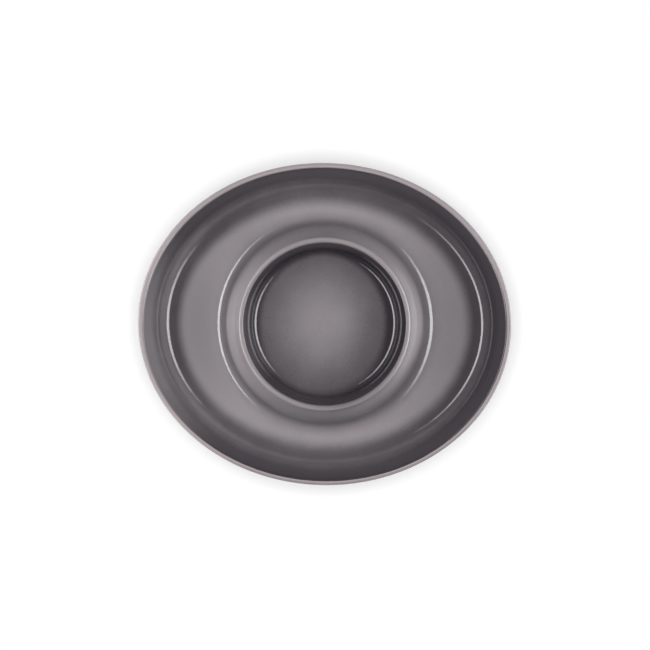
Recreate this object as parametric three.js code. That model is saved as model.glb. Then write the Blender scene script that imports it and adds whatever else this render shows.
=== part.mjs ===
// Chip and dip platter in glazed stoneware: an oval tray with a round dip bowl raised in its middle.
// One clay body carries everything: the bowl, the hollow ring wall round it, the trough for the chips,
// the leaning outer wall with its rounded rim, and two foot rings. Five coats of glaze lie on the clay.
// Millimetres, +Z up, +X along the length. The origin is on the table, below the middle of the bowl.

import * as THREE from "three";
import { mergeVertices } from "three/addons/utils/BufferGeometryUtils.js";

// Outer rim and wall, measured over the glaze
const RIM_LENGTH = 368;
const RIM_WIDTH = 318;
const RIM_HEIGHT = 58;
const RIM_LAND = 5.2;
const RIM_EDGE = 4;
const RIM_INNER_ROUND = 1.6;
const RIM_OUTER_ROUND = 1.6;
const WALL_LEAN_DEG = 20.4;
const OUTSIDE_LEAN_DEG = 16;
const WALL_COVE = 17;

// Dip bowl and the ring wall that carries its rim, measured over the glaze
const BOWL_MOUTH = 161;
const BOWL_RIM_HEIGHT = 51;
const BOWL_RIM_LAND = 4.8;
const BOWL_RIM_INNER_ROUND = 1.8;
const BOWL_RIM_OUTER_ROUND = 4.2;
const BOWL_LEAN_DEG = 10.7;
const BOWL_COVE = 8.6;
const BOWL_DISH = 1.2;
const RING_LEAN_DEG = 23.5;
const RING_COVE = 22;

// Thickness of the clay, and the round at the top of the hollow under the ring wall
const FLOOR = 7;
const RING_WALL = 5.5;
const HOLLOW_ROUND = 3;

// Foot rings
const TRAY_FOOT_HEIGHT = 4.4;
const TRAY_FOOT_INSET = 35.2;
const TRAY_FOOT_WIDTH = 4.5;
const BOWL_FOOT_HEIGHT = 3;
const BOWL_FOOT_DIAMETER = 110;
const BOWL_FOOT_WIDTH = 4.5;
const FOOT_DRAFT_DEG = 10;
const FOOT_FILLET = 1;
const FOOT_EDGE = 0.6;

// Thickness of the glaze, and the height above the table at which it is wiped off the feet
const GLAZE = 0.5;
const GLAZE_LINE = 1.2;

// Fineness of the facets: how far one may stand off the true curve, the least straight that is kept
// between two rounds, and the steps from the middle of the dished bowl floor to its edge
const FACET_TOLERANCE = 0.58;
const LEAST_STRAIGHT = 0.2;
const DISH_STEPS = 2;

const radians = THREE.MathUtils.degToRad;
const slope = (lean) => Math.tan(radians(lean));
const across = (thickness, lean) => thickness / Math.cos(radians(lean));

// The clay is the finished piece less its glaze: coves are wider, and rounded edges are tighter
const rimTop = RIM_HEIGHT - GLAZE;
const rimLand = RIM_LAND - 2 * GLAZE;
const rimEdge = RIM_HEIGHT - RIM_EDGE;
const rimOuterRound = RIM_OUTER_ROUND - GLAZE;
const rimHalfLength = RIM_LENGTH / 2 - GLAZE;
const rimHalfWidth = RIM_WIDTH / 2 - GLAZE;
const wallCove = WALL_COVE + GLAZE;
const bowlRimTop = BOWL_RIM_HEIGHT - GLAZE;
const mouthRadius = BOWL_MOUTH / 2 + GLAZE;
const crestRadius = mouthRadius + BOWL_RIM_LAND - 2 * GLAZE;
const bowlCove = BOWL_COVE + GLAZE;
const ringCove = RING_COVE + GLAZE;

// Floors stand on the feet
const trayUnderside = TRAY_FOOT_HEIGHT;
const trayFloor = trayUnderside + FLOOR;
const bowlUnderside = BOWL_FOOT_HEIGHT;
const bowlFloor = bowlUnderside + FLOOR;

// Leaning faces of the clay at a height: as a radius about the bowl, or as a distance from the rim
const bowlWallAt = (z) => mouthRadius - (bowlRimTop - z) * slope(BOWL_LEAN_DEG);
const ringSlopeAt = (z) => crestRadius + (bowlRimTop - z) * slope(RING_LEAN_DEG);
const wallAt = (z) => -rimLand - (rimTop - z) * slope(WALL_LEAN_DEG);
const outsideAt = (z) => -(rimEdge - z) * slope(OUTSIDE_LEAN_DEG);

// The hollow under the ring wall follows both of the wall's faces, and its sides meet at the apex
const hollowInnerAt = (z) => bowlWallAt(z) + across(RING_WALL, BOWL_LEAN_DEG);
const hollowOuterAt = (z) => ringSlopeAt(z) - across(RING_WALL, RING_LEAN_DEG);
const wallsAcross = across(RING_WALL, BOWL_LEAN_DEG) + across(RING_WALL, RING_LEAN_DEG);
const apexDepth = (wallsAcross - (crestRadius - mouthRadius)) / (slope(BOWL_LEAN_DEG) + slope(RING_LEAN_DEG));
const hollowApex = bowlRimTop - apexDepth;

// The outside of each bend runs parallel to the cove inside it
const wallHeel = wallCove + FLOOR;
const ringHeel = ringCove + RING_WALL;
const bowlHeel = bowlCove + RING_WALL;

// Two rounds that face each other across a flat share it where it is narrowest, as their sizes ask
const narrowest = Math.min(rimHalfLength, rimHalfWidth);
const reach = (round, lean) => round * Math.tan(radians(90 - lean) / 2);
const parting = (inner, innerReach, outer, outerReach) =>
  inner + ((outer - inner) * innerReach) / (innerReach + outerReach);

const trayParting = parting(
  ringSlopeAt(trayFloor),
  reach(ringCove, RING_LEAN_DEG),
  narrowest + wallAt(trayFloor),
  reach(wallCove, WALL_LEAN_DEG),
);
const trayFootOuter = GLAZE - TRAY_FOOT_INSET;
const trayFootInner = trayFootOuter - TRAY_FOOT_WIDTH;
const undersideParting = parting(
  hollowOuterAt(trayUnderside),
  reach(ringHeel, RING_LEAN_DEG),
  narrowest + trayFootInner - trayUnderside * slope(FOOT_DRAFT_DEG),
  reach(FOOT_FILLET, FOOT_DRAFT_DEG),
);

// A corner of the section: its distance out, its height, the radius that rounds it, and its name where
// one coat of glaze ends. Distances out count from the bowl's axis, or from the rim's outline.
const corner = (out, z, round = 0, name = null) => ({ out, z, round, name });

// Both sides and the sole of a foot ring, from outside to inside, with the wiped edge of the glaze.
function footRing(outer, inner, height, outerName, innerName) {
  const splay = slope(FOOT_DRAFT_DEG);
  return [
    corner(outer + height * splay, height, FOOT_FILLET),
    corner(outer + GLAZE_LINE * splay, GLAZE_LINE, 0, outerName),
    corner(outer, 0, FOOT_EDGE),
    corner(inner, 0, FOOT_EDGE),
    corner(inner - GLAZE_LINE * splay, GLAZE_LINE, 0, innerName),
    corner(inner - height * splay, height, FOOT_FILLET),
  ];
}

// Facets in an arc, so many that none stands off it by more than the tolerance.
function arcSteps(radius, angle) {
  const widest = 2 * Math.acos(Math.max(0, 1 - FACET_TOLERANCE / radius));
  return Math.max(1, Math.ceil(angle / widest));
}

// Rounds off the corners of a line that runs with the clay on its right, and gives its points with
// their outward normals. A round is limited where its sides are too short for it. The first and last
// corners only give the directions in which the line arrives and leaves.
function roundOff(corners) {
  const points = corners.map((c) => new THREE.Vector2(c.out, c.z));
  const sides = points.slice(1).map((p, i) => p.clone().sub(points[i]));
  const inner = corners.slice(1, -1);
  const turns = inner.map((c, i) => Math.atan2(sides[i].cross(sides[i + 1]), sides[i].dot(sides[i + 1])));
  const wanted = [0, ...inner.map((c, i) => c.round * Math.tan(Math.abs(turns[i]) / 2)), 0];
  const fits = sides.map((side, i) => {
    const room = Math.max(side.length() - LEAST_STRAIGHT, 0);
    return Math.min(1, room / Math.max(wanted[i] + wanted[i + 1], Number.EPSILON));
  });
  return inner.flatMap((c, i) => {
    const cut = wanted[i + 1] * Math.min(fits[i], fits[i + 1]);
    const arriving = sides[i].clone().normalize();
    const begin = points[i + 1].clone().addScaledVector(arriving, -cut);
    const normal = new THREE.Vector2(-arriving.y, arriving.x);
    if (cut === 0) return [{ out: begin.x, z: begin.y, nOut: normal.x, nZ: normal.y, name: c.name }];
    const radius = cut / Math.tan(turns[i] / 2);
    const centre = begin.clone().addScaledVector(normal, radius);
    const steps = arcSteps(Math.abs(radius), Math.abs(turns[i]));
    return Array.from({ length: steps + 1 }, (_, step) => {
      const n = normal.clone().rotateAround(new THREE.Vector2(), (turns[i] * step) / steps);
      const p = centre.clone().addScaledVector(n, -radius);
      return { out: p.x, z: p.y, nOut: n.x, nZ: n.y, name: step === steps ? c.name : null };
    });
  });
}

// Top of the bowl: the dished floor from the axis, the wall, the rim, and the ring wall's slope.
function bowlSection() {
  const floorEdge = bowlWallAt(bowlFloor);
  const middle = new THREE.Vector2(0, bowlFloor - BOWL_DISH);
  const dishTurn = new THREE.Vector2(floorEdge / 2, middle.y);
  const wall = roundOff([
    corner(dishTurn.x, dishTurn.y),
    corner(floorEdge, bowlFloor, bowlCove),
    corner(mouthRadius, bowlRimTop, BOWL_RIM_INNER_ROUND - GLAZE, "bowl rim"),
    corner(crestRadius, bowlRimTop, BOWL_RIM_OUTER_ROUND - GLAZE),
    corner(ringSlopeAt(trayFloor), trayFloor, ringCove),
    corner(trayParting, trayFloor),
  ]);
  const curve = new THREE.QuadraticBezierCurve(middle, dishTurn, new THREE.Vector2(wall[0].out, wall[0].z));
  const dish = Array.from({ length: DISH_STEPS }, (_, step) => {
    const p = curve.getPoint(step / DISH_STEPS);
    const along = curve.getTangent(step / DISH_STEPS);
    return { out: p.x, z: p.y, nOut: -along.y, nZ: along.x, name: step === 0 ? "bowl middle" : null };
  });
  return [...dish, ...wall];
}

// The rim's oval: out of the trough, up the wall, over the rim and its plumb edge, down the outside and
// over the foot ring.
function rimSection() {
  return roundOff([
    corner(trayParting - narrowest, trayFloor),
    corner(wallAt(trayFloor), trayFloor, wallCove),
    corner(-rimLand, rimTop, RIM_INNER_ROUND - GLAZE, "rim"),
    corner(0, rimTop, rimOuterRound),
    corner(0, rimEdge, rimOuterRound),
    corner(outsideAt(trayUnderside), trayUnderside, wallHeel),
    ...footRing(trayFootOuter, trayFootInner, trayUnderside, "tray foot outer", "tray foot inner"),
    corner(undersideParting - narrowest, trayUnderside),
  ]);
}

// Underneath: up into the hollow of the ring wall, down it, and over the bowl's foot ring to the axis.
function undersideSection() {
  const footOuter = BOWL_FOOT_DIAMETER / 2;
  const footInner = footOuter - BOWL_FOOT_WIDTH;
  const line = roundOff([
    corner(undersideParting, trayUnderside),
    corner(hollowOuterAt(trayUnderside), trayUnderside, ringHeel),
    corner(hollowInnerAt(hollowApex), hollowApex, HOLLOW_ROUND),
    corner(hollowInnerAt(bowlUnderside), bowlUnderside, bowlHeel),
    ...footRing(footOuter, footInner, bowlUnderside, "bowl foot outer", "bowl foot inner"),
    corner(0, bowlUnderside),
  ]);
  return [...line, { out: 0, z: bowlUnderside, nOut: 0, nZ: -1, name: "base middle" }];
}

// Directions in which the section is set round the platter, a whole number of them in each quarter
const flattestRadius = Math.max(rimHalfLength, rimHalfWidth) ** 2 / narrowest;
const stepsRound = 4 * Math.ceil(arcSteps(flattestRadius, 2 * Math.PI) / 4);
const directions = Array.from({ length: stepsRound }, (_, step) => {
  const angle = (2 * Math.PI * step) / stepsRound;
  return new THREE.Vector2(Math.cos(angle), Math.sin(angle));
});

// Where distances out are counted from in a direction: the axis, or the point of the oval facing that way
const bowlAxis = () => new THREE.Vector2();
function rimOutline(direction) {
  const support = Math.hypot(rimHalfLength * direction.x, rimHalfWidth * direction.y);
  const x = (rimHalfLength ** 2 * direction.x) / support;
  const y = (rimHalfWidth ** 2 * direction.y) / support;
  return new THREE.Vector2(x, y);
}

// Whole section of the clay, from the middle of the bowl over the rim to the middle of the base
const section = [
  ...bowlSection().map((station) => ({ ...station, start: bowlAxis })),
  ...rimSection().map((station) => ({ ...station, start: rimOutline })),
  ...undersideSection().map((station) => ({ ...station, start: bowlAxis })),
];

// A station of the section set in one of the directions.
function place(station, step) {
  const direction = directions[step % stepsRound];
  const plan = station.start(direction).addScaledVector(direction, station.out);
  return new THREE.Vector3(plan.x, plan.y, station.z);
}

// Corners of the triangles of the skin that a line of stations sweeps round the platter. It faces the
// outward side of the line, or the other side when it is turned.
function skin(stations, turned = false) {
  const triangles = [];
  const add = (a, b, c) => triangles.push(a, ...(turned ? [c, b] : [b, c]));
  for (let i = 1; i < stations.length; i++) {
    for (let step = 0; step < stepsRound; step++) {
      const near = place(stations[i - 1], step);
      const far = place(stations[i], step);
      const farNext = place(stations[i], step + 1);
      const nearNext = place(stations[i - 1], step + 1);
      if (far.distanceTo(farNext) > 0) add(near, far, farNext);
      if (near.distanceTo(nearNext) > 0) add(near, farNext, nearNext);
    }
  }
  return triangles;
}

// A closed body from its skins.
function body(...skins) {
  const geometry = mergeVertices(new THREE.BufferGeometry().setFromPoints(skins.flat()));
  geometry.computeVertexNormals();
  return geometry;
}

// A coat of glaze on the clay between two named stations.
function coat(fromName, toName) {
  const first = section.findIndex((station) => station.name === fromName);
  const last = section.findIndex((station) => station.name === toName);
  const under = section.slice(first, last + 1);
  const over = under.map((s) => ({ ...s, out: s.out + GLAZE * s.nOut, z: s.z + GLAZE * s.nZ }));
  const startEdge = skin([under[0], over[0]]);
  const endEdge = skin([under.at(-1), over.at(-1)], true);
  return body(skin(over), skin(under, true), startEdge, endEdge);
}

const platter = new THREE.Group();

// Adds a piece with its finish.
function addPiece(name, geometry, color, roughness) {
  const material = new THREE.MeshStandardMaterial({ color, roughness, metalness: 0 });
  const mesh = new THREE.Mesh(geometry, material);
  mesh.name = name;
  platter.add(mesh);
}

addPiece("stoneware_body", body(skin(section)), 0xb7a994, 0.8);
addPiece("bowl_glaze", coat("bowl middle", "bowl rim"), 0x8b8589, 0.22);
addPiece("trough_glaze", coat("bowl rim", "rim"), 0x928c90, 0.22);
addPiece("rim_and_wall_glaze", coat("rim", "tray foot outer"), 0xa89c9e, 0.25);
addPiece("underside_glaze", coat("tray foot inner", "bowl foot outer"), 0x8f888b, 0.25);
addPiece("bowl_base_glaze", coat("bowl foot inner", "base middle"), 0x8f888b, 0.25);

export default platter;
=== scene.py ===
# %% [markdown]
# # A glazed chip and dip platter
# The object is one piece of glazed stoneware: an oval tray with a round dip bowl raised in its middle.
# Its solids are loaded first, because they fix every size. All that follows is in metres and in the
# same frame: the table is z = 0, the bowl's axis is Z, and the oval is longest along X.

# %% Load the solids
import math

import bmesh
import bpy
import numpy as np
from mathutils import Euler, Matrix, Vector


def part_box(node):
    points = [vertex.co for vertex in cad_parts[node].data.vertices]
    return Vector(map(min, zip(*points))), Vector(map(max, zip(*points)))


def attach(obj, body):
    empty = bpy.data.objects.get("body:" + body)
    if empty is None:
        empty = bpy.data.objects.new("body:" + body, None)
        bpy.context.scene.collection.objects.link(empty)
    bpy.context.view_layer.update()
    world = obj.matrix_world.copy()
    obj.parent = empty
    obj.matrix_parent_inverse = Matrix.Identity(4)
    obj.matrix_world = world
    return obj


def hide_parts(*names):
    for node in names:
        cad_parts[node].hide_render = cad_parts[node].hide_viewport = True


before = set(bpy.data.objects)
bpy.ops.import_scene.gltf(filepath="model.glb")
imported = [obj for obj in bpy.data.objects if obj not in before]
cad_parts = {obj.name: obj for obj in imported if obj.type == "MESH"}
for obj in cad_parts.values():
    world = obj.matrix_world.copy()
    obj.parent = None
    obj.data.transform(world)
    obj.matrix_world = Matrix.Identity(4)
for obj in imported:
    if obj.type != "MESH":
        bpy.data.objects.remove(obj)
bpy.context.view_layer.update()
print("solids:", ", ".join(sorted(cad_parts)))

# %% [markdown]
# ## Measures
# The outer sizes are read from the solids. A box can't tell how far a wall leans or how wide a cove is,
# so those sizes are named here, as a potter would give them to whoever turns the plaster mould. The clay
# is the finished piece less its glaze, so its coves are a little wider and its edges a little tighter.

# %% Measures of the clay
MM = 0.001
GLAZE = 0.5 * MM
GLAZE_LINE = 1.2 * MM

rim_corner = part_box("rim_and_wall_glaze")[1]
clay_length = rim_corner.x - GLAZE
clay_width = rim_corner.y - GLAZE
rim_top = rim_corner.z - GLAZE
rim_land = 5.2 * MM - 2 * GLAZE
rim_edge = rim_corner.z - 4 * MM
rim_inner_round = 1.6 * MM - GLAZE
rim_outer_round = 1.6 * MM - GLAZE
wall_lean, outside_lean = math.radians(20.4), math.radians(16)
wall_cove = 17 * MM + GLAZE

bowl_rim_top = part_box("bowl_glaze")[1].z - GLAZE
mouth_radius = 80.5 * MM + GLAZE
crest_radius = mouth_radius + 4.8 * MM - 2 * GLAZE
bowl_rim_inner_round = 1.8 * MM - GLAZE
bowl_rim_outer_round = 4.2 * MM - GLAZE
bowl_lean, ring_lean = math.radians(10.7), math.radians(23.5)
bowl_cove, ring_cove = 8.6 * MM + GLAZE, 22 * MM + GLAZE
bowl_dish = 1.2 * MM

floor_thickness, ring_wall, hollow_round = 7 * MM, 5.5 * MM, 3 * MM
tray_underside, bowl_underside = 4.4 * MM, 3 * MM
tray_floor = tray_underside + floor_thickness
bowl_floor = bowl_underside + floor_thickness
tray_foot_outer = GLAZE - 35.2 * MM
bowl_foot_outer = 55 * MM
foot_width, foot_draft = 4.5 * MM, math.radians(10)
foot_fillet, foot_edge = 1 * MM, 0.6 * MM

print(f"rim {2 * rim_corner.x / MM:.0f} by {2 * rim_corner.y / MM:.0f} mm, {rim_corner.z / MM:.0f} mm high")

# %% [markdown]
# ## The section
# Cut the platter through its middle and half of the cut is one closed line: the dished bowl floor, the
# bowl's wall and rim, the slope of the hollow ring wall, the trough, the outer wall and rim, the outside,
# and back underneath over the two foot rings. It could be drawn as a Bezier curve by hand. Here it is a
# list of corners, each rounded to its radius, because then every cove keeps the size of the real one.
# Distances out count from the bowl's axis in the runs round the bowl, and from the rim's oval in the
# run round the rim.

# %% Corners rounded into a line
ARC_CHORD = 0.7 * MM
LEAST_ARC_STEPS = 8


def round_off(corners):
    """Rounded line through corners (out, z, radius, name): each becomes an arc that touches both sides.

    A point of an arc is its centre less the radius along the outward normal, which turns with the line
    and lies a quarter turn to the left of the way it runs. The first and last corners only aim the line.
    Returns rows of out, z, normal out and normal z, and a name for the row that ends a named corner.
    """
    points = np.array([corner[:2] for corner in corners])
    sides = np.diff(points, axis=0)
    along = sides / np.linalg.norm(sides, axis=1, keepdims=True)
    rows, names = [], []
    for corner, point, before, after in zip(corners[1:-1], points[1:-1], along[:-1], along[1:]):
        turn = math.atan2(before[0] * after[1] - before[1] * after[0], before @ after)
        radius = math.copysign(corner[2], turn)
        steps = max(LEAST_ARC_STEPS, round(abs(turn * radius) / ARC_CHORD)) if radius else 0
        angle = math.atan2(before[0], -before[1]) + turn * np.linspace(0, 1, steps + 1)
        normal = np.stack([np.cos(angle), np.sin(angle)], axis=1)
        centre = point - radius * math.tan(turn / 2) * before + radius * normal[0]
        rows.append(np.hstack([centre - radius * normal, normal]))
        names += [""] * steps + [corner[3]]
    return np.vstack(rows), names


def corner(out, z, radius=0.0, name=""):
    """A corner of the section, with the radius that rounds it and a name where a coat of glaze ends."""
    return out, z, radius, name


def foot_ring(outer, height, outer_name, inner_name):
    """Corners of a foot ring, from outside to inside: fillet, wiped glaze line, sole, line and fillet."""
    splay = math.tan(foot_draft)
    inner = outer - foot_width
    return [
        corner(outer + height * splay, height, foot_fillet),
        corner(outer + GLAZE_LINE * splay, GLAZE_LINE, 0.0, outer_name),
        corner(outer, 0.0, foot_edge),
        corner(inner, 0.0, foot_edge),
        corner(inner - GLAZE_LINE * splay, GLAZE_LINE, 0.0, inner_name),
        corner(inner - height * splay, height, foot_fillet),
    ]


print(f"arcs in chords of {ARC_CHORD / MM} mm, at least {LEAST_ARC_STEPS} to a corner")

# %% [markdown]
# The bowl's floor is dished, so that the last of the dip gathers in the middle. A parabola that is level
# on the axis and runs into the cove without a kink is the curve that a turned mould leaves. The hollow
# below the ring wall follows both of its faces at an even thickness, as slip-cast ware does.

# %% The three runs of the section
floor_edge = mouth_radius - (bowl_rim_top - bowl_floor) * math.tan(bowl_lean)
ring_foot = crest_radius + (bowl_rim_top - tray_floor) * math.tan(ring_lean)
wall_foot = -rim_land - (rim_top - tray_floor) * math.tan(wall_lean)
outside_foot = -(rim_edge - tray_underside) * math.tan(outside_lean)

bowl_rows, bowl_names = round_off([
    corner(floor_edge / 2, bowl_floor - bowl_dish),
    corner(floor_edge, bowl_floor, bowl_cove),
    corner(mouth_radius, bowl_rim_top, bowl_rim_inner_round, "bowl rim"),
    corner(crest_radius, bowl_rim_top, bowl_rim_outer_round, "bowl crest"),
    corner(ring_foot, tray_floor, ring_cove),
    corner(ring_foot + ring_cove, tray_floor),
])
rim_rows, rim_names = round_off([
    corner(wall_foot - wall_cove, tray_floor),
    corner(wall_foot, tray_floor, wall_cove),
    corner(-rim_land, rim_top, rim_inner_round, "rim"),
    corner(0.0, rim_top, rim_outer_round),
    corner(0.0, rim_edge, rim_outer_round),
    corner(outside_foot, tray_underside, wall_cove + floor_thickness),
    *foot_ring(tray_foot_outer, tray_underside, "tray foot outer", "tray foot inner"),
    corner(tray_foot_outer - 2 * foot_width, tray_underside),
])

inner_face = mouth_radius + ring_wall / math.cos(bowl_lean)
outer_face = crest_radius - ring_wall / math.cos(ring_lean)
apex_depth = (inner_face - outer_face) / (math.tan(bowl_lean) + math.tan(ring_lean))
under_rows, under_names = round_off([
    corner(ring_foot + ring_cove, tray_underside),
    corner(outer_face + (bowl_rim_top - tray_underside) * math.tan(ring_lean), tray_underside,
           ring_cove + ring_wall),
    corner(inner_face - apex_depth * math.tan(bowl_lean), bowl_rim_top - apex_depth, hollow_round),
    corner(inner_face - (bowl_rim_top - bowl_underside) * math.tan(bowl_lean), bowl_underside,
           bowl_cove + ring_wall),
    *foot_ring(bowl_foot_outer, bowl_underside, "bowl foot outer", "bowl foot inner"),
    corner(0.0, bowl_underside),
])
print("rows in the runs:", len(bowl_rows), len(rim_rows), len(under_rows))

# %% [markdown]
# The runs are joined into one line and measured along it, so that any place on the platter is given by
# two numbers: s, the length along the section from the middle of the bowl, and t, the angle at which
# the section is set. The rim's part of the section isn't turned about the axis but slid along the oval.
# Both parts face the same way at an angle, so a point is the oval's point that faces t, times 0 or 1,
# plus the distance out along t. In between, on the trough's floor, that share runs from 0 to 1.

# %% The section as a function of its length
DISH_STEPS = 32
FLAT_STEP = 2 * MM

share = np.linspace(0, 1, DISH_STEPS, endpoint=False)
dish_out = share * bowl_rows[0, 0]
dish_rise = bowl_rows[0, 1] - (bowl_floor - bowl_dish)
dish_tilt = np.arctan(2 * dish_rise * share / bowl_rows[0, 0])
dish_rows = np.stack([dish_out, bowl_floor - bowl_dish + dish_rise * share ** 2,
                      -np.sin(dish_tilt), np.cos(dish_tilt)], axis=1)
base_rows = np.array([[0.0, bowl_underside, 0.0, -1.0]])


def in_zone(rows, zone):
    """The rows of a run, with its share of the rim's oval in front: 0 round the bowl, 1 round the rim."""
    return np.hstack([np.full((len(rows), 1), zone), rows])


stations = np.vstack([in_zone(dish_rows, 0.0), in_zone(bowl_rows, 0.0), in_zone(rim_rows, 1.0),
                      in_zone(under_rows, 0.0), in_zone(base_rows, 0.0)])
station_names = [""] * DISH_STEPS + bowl_names + rim_names + under_names + [""]
station_x = stations[:, 0] * clay_length + stations[:, 1]
steps_along = np.hypot(np.diff(station_x), np.diff(stations[:, 2]))
station_s = np.concatenate([[0.0], np.cumsum(steps_along)])
marks = {name: s for name, s in zip(station_names, station_s) if name}
marks.update({"bowl middle": 0.0, "base middle": station_s[-1],
              "crest middle": (marks["bowl rim"] + marks["bowl crest"]) / 2})


def section_at(s):
    """Share of the oval, distance out, height and normal at length s, straight between the stations."""
    return [np.interp(s, station_s, column) for column in stations.T]


def platter_point(s, t, lift):
    """Point at length s and angle t, raised by lift off the clay along its normal.

    The oval's point that faces t is (a a cos t, b b sin t) over the root of (a cos t)^2 + (b sin t)^2.
    """
    zone, out, z, normal_out, normal_z = section_at(s)
    reach = np.hypot(clay_length * np.cos(t), clay_width * np.sin(t))
    out = out + lift * normal_out
    x = (zone * clay_length ** 2 / reach + out) * np.cos(t)
    y = (zone * clay_width ** 2 / reach + out) * np.sin(t)
    return np.stack(np.broadcast_arrays(x, y, z + lift * normal_z), axis=-1)


def lengths_between(first, last, step=FLAT_STEP):
    """Lengths of all stations between two marks, with more on the straight stretches, in order."""
    start, end = marks[first], marks[last]
    kept = station_s[(station_s > start) & (station_s < end)]
    even = np.linspace(start, end, 2 + int((end - start) / step))
    gaps = np.abs(even[:, None] - np.concatenate([kept, [start, end]])[None, :]).min(axis=1)
    return np.unique(np.concatenate([[start, end], kept, even[gaps > step / 2]]))


print(f"section {station_s[-1] / MM:.0f} mm round, marks at",
      {name: round(s / MM, 1) for name, s in marks.items()})

# %% [markdown]
# ## From surface to mesh
# A grid of points becomes a mesh in one go: the numbers of the corners of all the faces are worked out
# as arrays, and `foreach_set` hands them to Blender. Where a grid comes to a point on the axis its
# corners fall together, so doubles are merged. Edges sharper than the limit stay crisp when shaded.

# %% Mesh from a grid
ROUND_STEPS = 288
SHARP_EDGE = math.radians(40)
MERGE = 1e-7

angles = np.linspace(0, 2 * np.pi, ROUND_STEPS, endpoint=False)[None, :]


def grid_mesh(name, points, lengths, closed, attributes):
    """Mesh of a grid of points: rows run along the section, columns round the platter.

    A face joins each point to the next row, the next column and the one across. The last column joins
    the first, and the last row does too where the section is closed. The UV map holds the share of a
    turn and the length along the section; each attribute holds one number for every point.
    """
    rows, columns, _ = points.shape
    number = np.arange(rows * columns).reshape(rows, columns)
    faced = number if closed else number[:-1]
    onward, beside = np.roll(number, -1, axis=0)[:len(faced)], np.roll(faced, -1, axis=1)
    across = np.roll(onward, -1, axis=1)
    corners = np.stack([faced, onward, across, beside], axis=-1)
    turn = np.arange(columns) / columns
    turns = np.stack([turn, turn, turn + 1 / columns, turn + 1 / columns], axis=-1)
    ends = np.roll(lengths, -1)[:len(faced)]
    along = np.stack([lengths[:len(faced)], ends, ends, lengths[:len(faced)]], axis=-1)
    uv = np.stack(np.broadcast_arrays(turns[None, :, :], along[:, None, :]), axis=-1)

    mesh = bpy.data.meshes.new(name)
    mesh.vertices.add(number.size)
    mesh.vertices.foreach_set("co", points.astype(np.float32).ravel())
    mesh.loops.add(corners.size)
    mesh.loops.foreach_set("vertex_index", corners.astype(np.int32).ravel())
    mesh.polygons.add(corners.size // 4)
    mesh.polygons.foreach_set("loop_start", np.arange(0, corners.size, 4, dtype=np.int32))
    mesh.uv_layers.new(name="section").data.foreach_set("uv", uv.astype(np.float32).ravel())
    for key, values in attributes.items():
        layer = mesh.attributes.new(key, "FLOAT", "POINT")
        layer.data.foreach_set("value", np.broadcast_to(values, (rows, columns)).astype(np.float32).ravel())
    mesh.update(calc_edges=True)

    welded = bmesh.new()
    welded.from_mesh(mesh)
    bmesh.ops.remove_doubles(welded, verts=welded.verts, dist=MERGE)
    welded.to_mesh(mesh)
    welded.free()
    mesh.shade_smooth()
    mesh.set_sharp_from_angle(angle=SHARP_EDGE)
    return mesh


pieces = bpy.data.collections.new("platter")
bpy.context.scene.collection.children.link(pieces)


def add_piece(name, mesh, finish, node):
    """Makes the object of a mesh with its finish, which rides on the one body and stands for its solid."""
    piece = bpy.data.objects.new(name, mesh)
    pieces.objects.link(piece)
    mesh.materials.append(finish)
    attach(piece, "root")
    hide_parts(node)
    print(f"{name}: {len(mesh.polygons)} faces")


print(f"{ROUND_STEPS} steps round, {360 / ROUND_STEPS} degrees each")

# %% [markdown]
# ## Shader sums
# A glaze is colour, gloss and tiny relief, and all three change over the surface. Node trees for that
# are long to click together, so a small class writes them: arithmetic on its values adds Math nodes,
# and one method makes any other node. Colours are never added up as numbers; they go through Mix.

# %% A class that writes shader nodes


class Value:
    """A number from a shader node. Sums, differences and products of values add Math nodes."""

    def __init__(self, tree, socket=None):
        self.tree, self.socket = tree, socket

    def node(self, kind, settings=None, inputs=None, output=0):
        """Adds a node of a kind, sets its settings, then its inputs by name or number; gives an output."""
        made = self.tree.nodes.new(kind)
        for key, setting in (settings or {}).items():
            setattr(made, key, setting)
        for key, given in (inputs or {}).items():
            if isinstance(given, Value):
                self.tree.links.new(given.socket, made.inputs[key])
            else:
                made.inputs[key].default_value = given
        return Value(self.tree, made.outputs[output] if made.outputs else None)

    def math(self, operation, *numbers):
        """A Math node on numbers or values."""
        return self.node("ShaderNodeMath", {"operation": operation}, dict(enumerate(numbers)))

    def __add__(self, other):
        return self.math("ADD", self, other)

    def __sub__(self, other):
        return self.math("SUBTRACT", self, other)

    def __rsub__(self, other):
        return self.math("SUBTRACT", other, self)

    def __mul__(self, other):
        return self.math("MULTIPLY", self, other)

    __radd__, __rmul__ = __add__, __mul__

    def between(self, low, high, bottom=0.0, top=1.0):
        """Smooth step: bottom below low, top above high, and an S-shaped rise between them."""
        settings = {"interpolation_type": "SMOOTHSTEP"}
        sockets = {"Value": self, "From Min": low, "From Max": high, "To Min": bottom, "To Max": top}
        return self.node("ShaderNodeMapRange", settings, sockets)

    def mix(self, first, second):
        """Colour that goes from first to second as this value goes from 0 to 1."""
        return self.node("ShaderNodeMix", {"data_type": "RGBA"}, {0: self, 6: first, 7: second}, 2)

    def noise(self, place, size, detail=2.0):
        """Cloudy number about 0.5, with lumps of a size in metres, over places on the piece."""
        return self.node("ShaderNodeTexNoise", None, {"Vector": place, "Scale": 1 / size, "Detail": detail})

    def attribute(self, name):
        """One of the numbers kept on the mesh's points."""
        return self.node("ShaderNodeAttribute", {"attribute_name": name}, output="Fac")


def new_tree(owner):
    """Empty node tree of a new material or world, as a value to write from."""
    owner.use_nodes = True
    owner.node_tree.nodes.clear()
    return Value(owner.node_tree)


print("shader writer ready")

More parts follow.
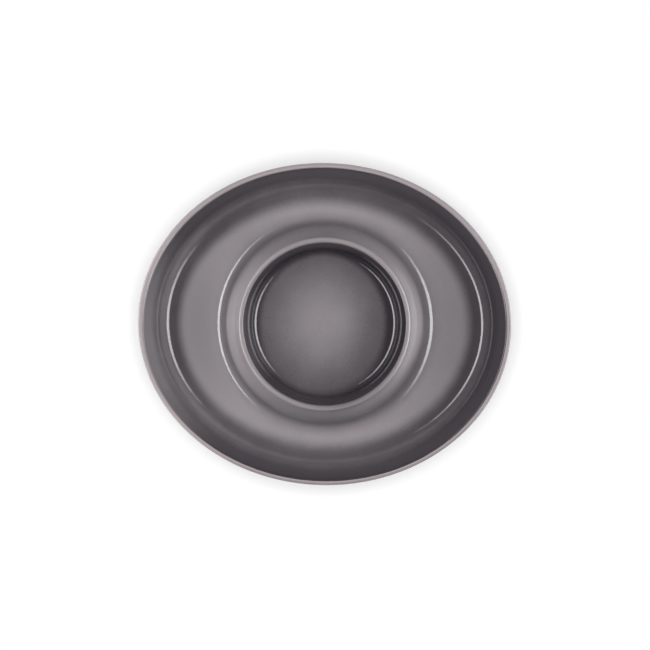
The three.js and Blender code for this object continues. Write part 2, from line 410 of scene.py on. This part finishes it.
# %% [markdown]
# ## The glaze
# The platter is dipped in a pale warm grey, and a charcoal glaze is then sprayed at the walls, so that the
# floors stay pale and the walls go dark with a soft edge between. Seen close, that edge is a stipple of fine
# drops. On edges the glaze runs thin and the clay warms it; in the coves it gathers. Spray and thinness
# follow the form, so they are numbers kept on the mesh; drops and the slight orange peel of a fired gloss are
# noise in the material. The spray numbers also carry painted shade and painted light, darker and paler places
# that stand for how the lamps fall. It could be painted on by hand, but a formula is easier to correct.

# %% Finish of the glazed faces
PALE_GLAZE = (0.335, 0.307, 0.324, 1)
CHARCOAL_GLAZE = (0.028, 0.0225, 0.0285, 1)
THIN_GLAZE = (0.240, 0.214, 0.222, 1)
RIM_GLAZE = (0.320, 0.282, 0.296, 1)
THIN_RIM_GLAZE = (0.30, 0.258, 0.264, 1)
GLAZE_INDEX = 1.7
NOISE_MIDDLE = 0.5
DROP_SIZE, DROP_CONTRAST = 0.45 * MM, 1.6
CLOUD_SIZE, CLOUD_CONTRAST = 28 * MM, 0.5
THIN_PATCHES, THIN_RANGE = 0.15, (0.15, 0.85)
PEEL_SIZE, PEEL_DEPTH, PEEL_STRENGTH = 3.5 * MM, 0.02 * MM, 0.35
GLOSS_ROUGHNESS, DROP_ROUGHNESS = 0.075, 0.02
THIN_ROUGHNESS, DRY_RANGE = 0.08, (0.2, 1.0)


def glaze_finish(name, pale=PALE_GLAZE, thin=THIN_GLAZE):
    """Pale glaze mixed to charcoal by the spray and its painted shading, broken into drops, and to its thin
    colour on edges.
    """
    material = bpy.data.materials.new(name)
    write = new_tree(material)
    place = write.node("ShaderNodeTexCoord", output="Object")
    drops = write.noise(place, DROP_SIZE, 1.0)
    clouds = write.noise(place, CLOUD_SIZE, 3.0)
    sprayed_and_shaded = write.attribute("spray_and_shading")
    edge = sprayed_and_shaded * (1 - sprayed_and_shaded)
    stipple = edge * (drops - NOISE_MIDDLE) * DROP_CONTRAST
    spray_and_shading = sprayed_and_shaded + stipple + edge * (clouds - NOISE_MIDDLE) * CLOUD_CONTRAST
    bare = write.attribute("thin") + (clouds - NOISE_MIDDLE) * THIN_PATCHES
    # The spray mask also holds painted shade and painted light, so this mix paints them into the glaze
    # colour.
    sprayed_and_shaded_tone = spray_and_shading.between(0.0, 1.0).mix(pale, CHARCOAL_GLAZE)
    colour = bare.between(*THIN_RANGE).mix(sprayed_and_shaded_tone, thin)
    peel = write.noise(place, PEEL_SIZE, 1.0)
    relief = write.node("ShaderNodeBump", None, {
        "Strength": PEEL_STRENGTH, "Distance": PEEL_DEPTH, "Height": peel})
    roughness = GLOSS_ROUGHNESS + drops * DROP_ROUGHNESS + bare.between(*DRY_RANGE) * THIN_ROUGHNESS
    surface = write.node("ShaderNodeBsdfPrincipled", None, {
        "Base Color": colour, "Roughness": roughness, "Normal": relief, "IOR": GLAZE_INDEX})
    write.node("ShaderNodeOutputMaterial", None, {"Surface": surface})
    print(f"{name}: {len(material.node_tree.nodes)} nodes")
    return material


inside_finish = glaze_finish("sprayed_and_shaded_glaze")
outside_finish = glaze_finish("rim_glaze", RIM_GLAZE, THIN_RIM_GLAZE)
plain_finish = glaze_finish("underside_glaze")

# %% [markdown]
# ## Where the spray and the painted shading lie
# Spray is strongest on the two walls and fades out across the floors. It was done by hand, but many of the
# places where it is heavier or lighter here are painted shade and painted light: darker where the lamps reach
# less, paler where they reach more and where the gloss mirrors something bright. A place where it is heavier
# or lighter is given by its heading: degrees round the platter, counted from the right end by way of the
# back. Each pass is a smooth step, which is level at both ends, so that no ring shows where it starts.

# %% Headings and fades
RIGHT, BACK, LEFT_BACK, LEFT, FRONT, RIGHT_FRONT = 5, 90, 150, 190, 270, 310


def smooth_step(low, high, x):
    """0 below low, 1 above high, and 3 u u - 2 u u u between, where u is the share of the way."""
    u = np.clip((x - low) / (high - low), 0, 1)
    return u * u * (3 - 2 * u)


def facing(x, y, heading, low=0.0, high=1.0):
    """How much points lie towards a heading: a smooth step, from low to high, of the cosine to it."""
    turn = math.radians(heading)
    radius = np.maximum(np.hypot(x, y), MM)
    return smooth_step(low, high, (x * math.cos(turn) + y * math.sin(turn)) / radius)


print(f"the left end, at {LEFT} degrees, stays palest")

# %% [markdown]
# In the bowl the charcoal is a long fade over the floor, counted from a palest spot a little beside the
# middle, and a short one that is full at the wall. The spot lies to the left back, where the floor is painted
# lighter because the lamps light it more there. The short fade starts closest to the wall at the bowl's two
# sides and furthest in at its right, and it is drawn out at the front; these moves are painted shade.

# %% Spray in the bowl
# The palest spot's offset and the paler sides and left wall are painted light; the short fade's moves are
# painted shade.
PALEST_SPOT = (-6 * MM, 3 * MM)
BOWL_LEAST, LONG_SHARE, SHORT_SHARE = 0.385, 0.32, 0.27
LONG_FADE = (10 * MM, 80 * MM)
SHORT_START, IN_AT_ENDS, IN_AT_RIGHT = 66 * MM, 4 * MM, 4.5 * MM
SHORT_WIDTH, WIDER_IN_FRONT = 9 * MM, 7 * MM
BOWL_WALL_RISE = (70 * MM, 75 * MM)
SIDES_PALER, LEFT_WALL_PALER = 0.07, 0.2


def bowl_spray_and_shading(points):
    """Charcoal and painted shading in the bowl: the least there is, a share of the long fade and a share of
    the short one.

    The long fade is a smooth step of the distance from the palest spot, the short one of the radius. The
    floor is a little paler at the two sides, by the fourth power of the sine, and the wall at its left; both
    are painted light.
    """
    x, y = points[..., 0], points[..., 1]
    radius = np.hypot(x, y)
    lengthwise = x / np.maximum(radius, MM)
    floor = smooth_step(*LONG_FADE, np.hypot(x - PALEST_SPOT[0], y - PALEST_SPOT[1]))
    # Moving the short fade's start in at the ends and the right, and widening it in front, paints shade.
    start = SHORT_START - IN_AT_ENDS * lengthwise ** 2 - IN_AT_RIGHT * np.maximum(lengthwise, 0)
    wall = smooth_step(start, start + SHORT_WIDTH + WIDER_IN_FRONT * facing(x, y, FRONT), radius)
    # The paler sides of the floor and the paler left wall are painted light.
    sides_paler = SIDES_PALER * (1 - lengthwise ** 2) ** 2 * (1 - wall)
    left_paler = LEFT_WALL_PALER * facing(x, y, LEFT, low=0.75) * smooth_step(*BOWL_WALL_RISE, radius)
    return BOWL_LEAST + (LONG_SHARE - sides_paler) * floor + SHORT_SHARE * wall - left_paler


bowl_places = np.array([(*PALEST_SPOT, 0), (mouth_radius, 0, 0)])
print("charcoal at the bowl's palest spot and right wall:", bowl_spray_and_shading(bowl_places).round(2))

# %% [markdown]
# In the trough the first two passes belong to the ring wall. The ground is a thin veil with painted shade
# laid on it: heavier at the ring's sides than at its ends, since the side lamps light those slopes less, and
# across the floor too, but not at the left end, which is left lit. The second pass is a dark ring of painted
# shade at the slope's foot, and it reaches further out over the floor than up the slope.

# %% Spray round the ring wall
# The veil's share at the sides and in front, and the floor's veil, are painted shade.
VEIL, SHADE_AT_SIDES, SHADE_IN_FRONT, VEIL_LEFT_BACK = 0.06, 0.38, 0.15, 0.05
CREST_RIGHT_FRONT, SLOPE_RIGHT, SLOPE_LEFT = 0.13, 0.19, 0.13
FLOOR_SHADE = 0.26
CREST_END, SLOPE_TOP_END = (84 * MM, 90 * MM), (88 * MM, 93 * MM)
FLOOR_START = (100 * MM, 108 * MM)

# Sizes of the painted shade in a dark ring at the slope's foot.
FOOT_SHADE_RADIUS, FURTHER_IN_FRONT = 100.5 * MM, 1.2 * MM
FOOT_SHADE, LESS_AT_SIDES, MORE_RIGHT_FRONT = 0.52, 0.24, 0.05
SHADE_OUTWARD, SHADE_INWARD = 10 * MM, 4.2 * MM
NARROWER_LEFT, NARROWER_RIGHT, WIDER_RIGHT_FRONT = 1.8 * MM, 1.1 * MM, 1.6 * MM


def ring_veil_and_shade(x, y):
    """The veil and its painted shade, which grows with the sine of the heading, and beyond it the floor's
    thinner painted shade.
    """
    radius = np.hypot(x, y)
    in_front = 1 + SHADE_IN_FRONT * facing(x, y, FRONT)
    # The veil's rise at the ring's sides, more in front, is painted shade.
    veil_and_shade = VEIL + SHADE_AT_SIDES * np.abs(y) / radius * in_front + VEIL_LEFT_BACK * facing(x, y, LEFT_BACK)
    crest = CREST_RIGHT_FRONT * facing(x, y, RIGHT_FRONT, low=0.5)
    veil_and_shade = veil_and_shade + crest * (1 - smooth_step(*CREST_END, radius))
    slope = SLOPE_RIGHT * facing(x, y, RIGHT, low=0.85) + SLOPE_LEFT * facing(x, y, LEFT, low=0.85)
    veil_and_shade = veil_and_shade + slope * (1 - smooth_step(*SLOPE_TOP_END, radius))
    # The floor is darkened all round but at the left end, as painted shade.
    floor_shade = FLOOR_SHADE * (1 - facing(x, y, LEFT, 0.5, 0.95))
    on_floor = smooth_step(*FLOOR_START, radius)
    return veil_and_shade * (1 - on_floor) + floor_shade * on_floor


def painted_foot_shade(x, y):
    """A ring of painted shade that fades as exp(-u u), where u is the distance from it over its spread on
    that side.
    """
    radius = np.hypot(x, y)
    right_front = facing(x, y, RIGHT_FRONT, low=0.5)
    aside = radius - FOOT_SHADE_RADIUS - FURTHER_IN_FRONT * facing(x, y, FRONT, low=0.3)
    narrower = NARROWER_LEFT * facing(x, y, LEFT, low=0.7) + NARROWER_RIGHT * facing(x, y, RIGHT, low=0.85)
    inward = SHADE_INWARD - narrower + WIDER_RIGHT_FRONT * right_front
    spread = np.where(aside > 0, SHADE_OUTWARD, inward)
    strength = FOOT_SHADE - LESS_AT_SIDES * (y / radius) ** 2 + MORE_RIGHT_FRONT * right_front
    return strength * np.exp(-(aside / spread) ** 2)


# The dark ring at the slope's foot is painted shade.
print("mist at the right end of the slope's foot:", painted_foot_shade(FOOT_SHADE_RADIUS, 0.0).round(2))

# %% [markdown]
# The third pass is the outer wall's. It starts at an oval of the rim's proportions, which lies a millimetre
# in front of the middle, and it deepens up the wall. It is paler in three places: in a band low on the wall,
# most of all at the front and the left back, which is a painted reflection; at the top of the left end, which
# is painted light; and right under the rim at the back. A last trace drifted onto the rim, and it is painted
# lighter at the left end, where the left lamp lights the rim, and darker at the front.

# %% Spray on the outer wall and the rim
SPRAY_MIDDLE = (0 * MM, -1 * MM)
SPRAY_EDGE, EDGE_IN_AT_SIDES = (0.744, 0.831), 0.026
WALL_FOOT, FOOT_LESS_AT_SIDES, WALL_TOP = 0.74, 0.16, 0.95
WALL_RISE, LEFT_RISE, BACK_RISE = (0.83, 0.96), (0.905, 0.945), (0.965, 0.973)
# The paler band is a painted reflection; the paler top of the left end and the rim trace's change round the
# platter are painted light.
BAND_START, BAND_END = (0.848, 0.885), (0.893, 0.935)
BAND_PALER, BAND_FRONT, BAND_LEFT_BACK = 0.12, 0.20, 0.18
LEFT_PALER, BACK_PALER = 0.33, 0.75
RIM_TRACE, RIM_LESS_LEFT, RIM_MORE_FRONT = 0.31, 0.24, 0.12


def wall_pass_and_light(x, y):
    """Two smooth steps of how far out a point lies, where the rim is 1, less the share that is paler, which
    is partly painted reflection and painted light.
    """
    sideways = (y / np.hypot(x, y)) ** 2
    oval = np.hypot(x / rim_corner.x, y / rim_corner.y)
    edge_oval = np.hypot((x - SPRAY_MIDDLE[0]) / rim_corner.x, (y - SPRAY_MIDDLE[1]) / rim_corner.y)
    edge = SPRAY_EDGE[0] - EDGE_IN_AT_SIDES * sideways
    foot = WALL_FOOT - FOOT_LESS_AT_SIDES * sideways
    wall = foot * smooth_step(edge, SPRAY_EDGE[1], edge_oval)
    wall = wall + (WALL_TOP - foot) * smooth_step(*WALL_RISE, oval)
    # The paler band low on the wall is a painted reflection; the paler top of the left end is painted light.
    band = smooth_step(*BAND_START, oval) - smooth_step(*BAND_END, oval)
    in_band = BAND_PALER + BAND_FRONT * facing(x, y, FRONT) + BAND_LEFT_BACK * facing(x, y, LEFT_BACK)
    at_left = LEFT_PALER * facing(x, y, LEFT, low=0.7) * smooth_step(*LEFT_RISE, oval)
    at_back = BACK_PALER * facing(x, y, BACK, -0.2, 0.5) * smooth_step(*BACK_RISE, oval)
    return wall * (1 - (in_band * band + at_left + at_back))


def trough_spray_and_shading(points):
    """Charcoal and painted shading in the trough: each of the three passes covers its share of what is still
    pale.
    """
    x, y = points[..., 0], points[..., 1]
    return 1 - (1 - ring_veil_and_shade(x, y)) * (1 - painted_foot_shade(x, y)) * (1 - wall_pass_and_light(x, y))


def rim_trace_and_shading(points):
    """A trace of charcoal on the rim, with painted light: least at the left end, which the left lamp lights,
    and most at the front.
    """
    x, y = points[..., 0], points[..., 1]
    return RIM_TRACE - RIM_LESS_LEFT * facing(x, y, LEFT, 0.5, 0.95) + RIM_MORE_FRONT * facing(x, y, FRONT)


def no_spray(points):
    """The underside isn't sprayed."""
    return np.zeros(points.shape[:2])


print("spray starts along the length at", [round(edge * rim_corner.x / MM) for edge in SPRAY_EDGE], "mm")

# %% [markdown]
# ## The coats
# Each coat is a skin half a millimetre thick on the clay, closed underneath. Blender's Solidify would
# give it an even thickness. Worked out as a loop, out along the top and back along the clay, the coat
# can also thin out where it was wiped off the feet, with the slightly wavy line that a sponge leaves.

# %% Coats of glaze
EDGE_WIDTH = 3.2 * MM
BOWL_RIM_COVERED, CREST_COVERED = 0.2, 0.42
WIPE_WIDTH, WIPED_EDGE = 1.4 * MM, 0.04 * MM
WIPE_WAVE, WIPE_WAVES, WIPE_PHASE = 0.22 * MM, (5, 9, 14, 23), 1.7


def edge_thinness(lengths, edges, width=EDGE_WIDTH):
    """The most that any edge gives: its strength at its mark, falling to 0 within a width on both sides."""
    distance = np.abs(lengths[:, None] - np.array([marks[edge] for edge in edges])[None, :])
    return (np.array(list(edges.values())) * (1 - smooth_step(0, width, distance))).max(axis=1)


def coat(name, first, last, wiped, finish, node, spray_and_shading, thin_edges, covered=0.0):
    """Coat between two marks: the loop of s there and back, raised by the glaze on the way out only.

    Within a width of a wiped mark the thickness falls as the root of the distance, as a drop's edge does,
    and the mark itself wavers round the foot as a sum of a few waves. Thin edges are covered by a share at
    the right front.
    """
    there = lengths_between(first, last)
    loop = np.concatenate([there, there[::-1]])
    thickness = np.full(len(there), GLAZE)
    waver = np.zeros((len(loop), ROUND_STEPS))
    wave = sum(np.sin(k * angles + WIPE_PHASE * k) / math.sqrt(k) for k in WIPE_WAVES) / 2
    for mark in wiped:
        near = np.clip(np.abs(there - marks[mark]) / WIPE_WIDTH, 0, 1)
        thickness = np.minimum(thickness, WIPED_EDGE + (GLAZE - WIPED_EDGE) * np.sqrt(near * (2 - near)))
        closeness = np.clip(1 - np.abs(loop - marks[mark]) / WIPE_WIDTH, 0, 1)
        waver = waver + closeness[:, None] * wave * WIPE_WAVE
    lift = np.concatenate([thickness, np.zeros(len(there))])[:, None]
    points = platter_point(loop[:, None] + waver, angles, lift)
    bare = 1 - covered * facing(points[..., 0], points[..., 1], RIGHT_FRONT, low=0.5)
    values = {"spray_and_shading": spray_and_shading(points), "thin": edge_thinness(loop, thin_edges)[:, None] * bare}
    add_piece(name, grid_mesh(name, points, loop, True, values), finish, node)


coat("bowl_coat", "bowl middle", "bowl rim", (), inside_finish, "bowl_glaze",
     bowl_spray_and_shading, {"bowl rim": 0.6}, BOWL_RIM_COVERED)
coat("trough_coat", "bowl rim", "rim", (), inside_finish, "trough_glaze",
     trough_spray_and_shading, {"bowl rim": 0.6, "crest middle": 1.0}, CREST_COVERED)
coat("rim_coat", "rim", "tray foot outer", ("tray foot outer",), outside_finish, "rim_and_wall_glaze",
     rim_trace_and_shading, {"rim": 1.0})
coat("underside_coat", "tray foot inner", "bowl foot outer", ("tray foot inner", "bowl foot outer"),
     plain_finish, "underside_glaze", no_spray, {"tray foot inner": 1.0})
coat("base_coat", "bowl foot inner", "base middle", ("bowl foot inner",), plain_finish,
     "bowl_base_glaze", no_spray, {"bowl foot inner": 1.0})

# %% [markdown]
# ## The clay
# Below the glaze is buff stoneware. It shows only on the soles of the two foot rings, where the glaze was
# wiped away so that the platter didn't stick to the kiln shelf, and where the sole was rubbed flat
# afterwards. The rubbing leaves fine rings, so their noise reads the UV map and is drawn out round the foot.
# The rest is hidden, so the clay needs only every other column of the coats' grid.

# %% Finish of the bare clay and the clay body
CLAY = (0.44, 0.36, 0.265, 1)
CLAY_DARK = (0.27, 0.20, 0.14, 1)
CLAY_WARM = (0.40, 0.26, 0.16, 1)
CLAY_SHADE = (0.39, 0.315, 0.23, 1)
GRAIN_SIZE, GRAIN_RANGE = 0.5 * MM, (0.62, 0.74)
PATCH_SIZE, SHADE_RANGE, FLUSH_RANGE = 14 * MM, (0.3, 0.8), (0.25, 0.75)
RUB_SIZE, RUB_STRETCH = 0.25 * MM, (60, 1, 1)
RUB_DEPTH, RUB_STRENGTH = 0.05 * MM, 0.5
CLAY_ROUGHNESS, GRAIN_ROUGHNESS = 0.78, 0.12
FLUSH_WIDTH = 1.2 * MM
CLAY_STEP = 2 * FLAT_STEP


def clay_finish():
    """Buff clay with darker grains, a warm flush along the glaze lines and the rings of the rubbed sole."""
    material = bpy.data.materials.new("bare_stoneware")
    write = new_tree(material)
    place = write.node("ShaderNodeTexCoord", output="Object")
    grain = write.noise(place, GRAIN_SIZE, 2.0)
    patch = write.noise(place, PATCH_SIZE, 3.0)
    flush = write.attribute("flush") * patch.between(*FLUSH_RANGE)
    tone = flush.mix(patch.between(*SHADE_RANGE).mix(CLAY, CLAY_SHADE), CLAY_WARM)
    colour = grain.between(*GRAIN_RANGE).mix(tone, CLAY_DARK)
    stretch = write.node("ShaderNodeVectorMath", {"operation": "MULTIPLY"},
                         {0: write.node("ShaderNodeUVMap", {"uv_map": "section"}), 1: RUB_STRETCH})
    rings = write.noise(stretch, RUB_SIZE, 2.0)
    height = rings * 0.5 + grain * 0.5
    relief = write.node("ShaderNodeBump", None, {
        "Strength": RUB_STRENGTH, "Distance": RUB_DEPTH, "Height": height})
    surface = write.node("ShaderNodeBsdfPrincipled", None, {
        "Base Color": colour, "Roughness": CLAY_ROUGHNESS + grain * GRAIN_ROUGHNESS, "Normal": relief})
    write.node("ShaderNodeOutputMaterial", None, {"Surface": surface})
    print(f"bare_stoneware: {len(material.node_tree.nodes)} nodes")
    return material


clay_lengths = lengths_between("bowl middle", "base middle", CLAY_STEP)
sole_edges = dict.fromkeys(("tray foot outer", "tray foot inner", "bowl foot outer", "bowl foot inner"), 1.0)
clay_points = platter_point(clay_lengths[:, None], angles[:, ::2], 0.0)
clay_mesh = grid_mesh("clay_body", clay_points, clay_lengths, False,
                      {"flush": edge_thinness(clay_lengths, sole_edges, FLUSH_WIDTH)[:, None]})
add_piece("clay_body", clay_mesh, clay_finish(), "stoneware_body")

# %% [markdown]
# ## The table
# The platter stands on a white table. The table's own colour can't reach pure white under plain light, so
# for what the camera and mirror-like faces see, part of it gives off light instead. The other part still
# takes the platter's shadow.

# %% Table
TABLE_REACH = 12.0
TABLE_GLOW = 0.30
PAPER = (0.95, 0.95, 0.95, 1)

table_mesh = bpy.data.meshes.new("table")
table_corners = TABLE_REACH * np.array([(-1, -1, 0), (1, -1, 0), (1, 1, 0), (-1, 1, 0)])
table_mesh.from_pydata(table_corners.tolist(), [], [(0, 1, 2, 3)])
table = bpy.data.objects.new("table", table_mesh)
stage = bpy.data.collections.new("stage")
bpy.context.scene.collection.children.link(stage)
stage.objects.link(table)

table_finish = bpy.data.materials.new("white_table")
write = new_tree(table_finish)
seen = sum(write.node("ShaderNodeLightPath", output=f"Is {way} Ray")
           for way in ("Camera", "Glossy", "Transmission"))
paper = write.node("ShaderNodeBsdfDiffuse", None, {"Color": PAPER})
glow = write.node("ShaderNodeEmission", None, {"Strength": 1.0})
blend = write.node("ShaderNodeMixShader", None, {0: seen * TABLE_GLOW, 1: paper, 2: glow})
write.node("ShaderNodeOutputMaterial", None, {"Surface": blend})
table_mesh.materials.append(table_finish)
print(f"table {2 * TABLE_REACH:.0f} m wide")

# %% [markdown]
# ## The camera
# The photograph looks almost straight down, turned a little, so the oval leans from the level. A long lens
# from well above keeps the walls from splaying. The camera stands a few centimetres behind the middle, so
# the front walls show a little more than the back ones. What the view takes in is set by the size of the
# platter: the frame is so many millimetres across at the height of the rim.

# %% Camera
VIEW_WIDTH = 640.4 * MM
VIEW_ABOVE_RIM = 1.8
VIEW_TURN = math.radians(1.9)
VIEW_OFFSET = 0.5 * MM
VIEW_BESIDE = (14 * MM, 50 * MM)

right = np.array([math.cos(VIEW_TURN), math.sin(VIEW_TURN), 0])
upward = np.array([-math.sin(VIEW_TURN), math.cos(VIEW_TURN), 0])
lens = bpy.data.cameras.new("camera")
lens.lens = lens.sensor_width * VIEW_ABOVE_RIM / VIEW_WIDTH
camera = bpy.data.objects.new("camera", lens)
aim = VIEW_OFFSET * (right - upward) + np.array([0, 0, rim_corner.z])
camera.location = aim + VIEW_BESIDE[0] * right + VIEW_BESIDE[1] * upward + np.array([0, 0, VIEW_ABOVE_RIM])
lean = (math.atan2(-VIEW_BESIDE[1], VIEW_ABOVE_RIM), math.atan2(VIEW_BESIDE[0], VIEW_ABOVE_RIM), 0)
camera.rotation_euler = (Euler((0, 0, VIEW_TURN)).to_matrix() @ Euler(lean).to_matrix()).to_euler()
bpy.context.scene.collection.objects.link(camera)
bpy.context.scene.camera = camera
print(f"lens {lens.lens:.1f} mm, {VIEW_ABOVE_RIM} m above the rim")

# %% [markdown]
# ## The light
# Two folding screens of soft light stand left and right of the table and look in over the rims. Their
# images in the glossy coves are the bright curved lines of the photograph, so the lines give the height and
# the reach of the screens, which dim to both sides as the lines do. A low, faint screen stands at the back.
# One big flat lamp each could do it too, but its top edge would bow in the mirror of a round cove. The light
# from the ceiling brightens the floors without showing in their gloss. Another falls on the table alone,
# where it leaves the short soft shadow round the rim. The room is dim overhead and white low down.

# %% Lights
SIDE_DISTANCE = 1.8
SIDE_RADIANCE = 6.5
BACK_RADIANCE = 0.9
PANELS = 15
LAMP_HEIGHT = 3.0
CEILING_RADIANCE, CEILING_SIZE = 2.15, 2.6
TABLE_RADIANCE, TABLE_LIGHT_SIZE = 8.4, 1.9
ROOM_RISE, ROOM_LOW, ROOM_OVERHEAD = (0.1, 0.4), 0.9, 0.1


def soft_light(name, place, faces, width, height, radiance, lit, mirrored=True):
    """Rectangular light at a place that faces a point and lights one collection.

    Its power is its radiance times pi times its area, so the numbers compare with the white of the table.
    A light that isn't mirrored brightens what it lights without showing in its gloss.
    """
    lamp = bpy.data.lights.new(name, "AREA")
    lamp.shape = "RECTANGLE"
    lamp.size, lamp.size_y = width, height
    lamp.energy = radiance * math.pi * width * height
    light = bpy.data.objects.new(name, lamp)
    light.location = place
    light.rotation_euler = Vector(faces - place).to_track_quat("-Z", "Y").to_euler()
    light.visible_camera = False
    light.visible_glossy = mirrored
    light.light_linking.receiver_collection = lit
    bpy.context.scene.collection.objects.link(light)


def light_screen(name, radiance, azimuth, reach, low, high, fall):
    """Folding screen of upright lights about an azimuth, all in degrees, that reaches so far to each side.

    Its edges lie at a low and a high elevation as seen from the platter, so each is the distance times
    the tangent of its elevation above the table. A panel at a share u of the reach gives 1 - u u of the
    full light, raised to the power of the fall.
    """
    bottom, top = (SIDE_DISTANCE * math.tan(math.radians(edge)) for edge in (low, high))
    level = np.array([0, 0, (bottom + top) / 2])
    width = 2 * SIDE_DISTANCE * math.tan(math.radians(reach) / PANELS)
    for panel in range(PANELS):
        share = (2 * panel + 1) / PANELS - 1
        turn = math.radians(azimuth + share * reach)
        place = level + SIDE_DISTANCE * (right * math.cos(turn) + upward * math.sin(turn))
        dimmed = radiance * (1 - share ** 2) ** fall
        soft_light(f"{name}_{panel + 1}", place, level, width, top - bottom, dimmed, pieces)
    print(f"{name}: {PANELS} panels, {bottom:.2f} to {top:.2f} m high")


light_screen("right_light", SIDE_RADIANCE, azimuth=0, reach=50, low=20, high=45.5, fall=1.5)
light_screen("left_light", SIDE_RADIANCE, azimuth=180, reach=60, low=22.5, high=41.5, fall=0.9)
light_screen("back_light", BACK_RADIANCE, azimuth=90, reach=50, low=8, high=18, fall=1.0)
overhead, table_middle = np.array([0, 0, LAMP_HEIGHT]), np.zeros(3)
soft_light("ceiling_light", overhead, table_middle, CEILING_SIZE, CEILING_SIZE, CEILING_RADIANCE, pieces,
           mirrored=False)
soft_light("table_light", overhead, table_middle, TABLE_LIGHT_SIZE, TABLE_LIGHT_SIZE, TABLE_RADIANCE, stage)

room = bpy.data.worlds.new("studio")
write = new_tree(room)
way = write.node("ShaderNodeTexCoord", output="Generated")
way_up = write.node("ShaderNodeSeparateXYZ", None, {0: way}, "Z")
brightness = way_up.between(*ROOM_RISE, ROOM_LOW, ROOM_OVERHEAD)
sky = write.node("ShaderNodeBackground", None, {"Color": (1, 1, 1, 1), "Strength": brightness})
write.node("ShaderNodeOutputWorld", None, {"Surface": sky})
bpy.context.scene.world = room
bpy.context.scene.view_settings.view_transform = "Standard"
print(f"lamps {LAMP_HEIGHT} m up, {CEILING_SIZE} and {TABLE_LIGHT_SIZE} m wide")
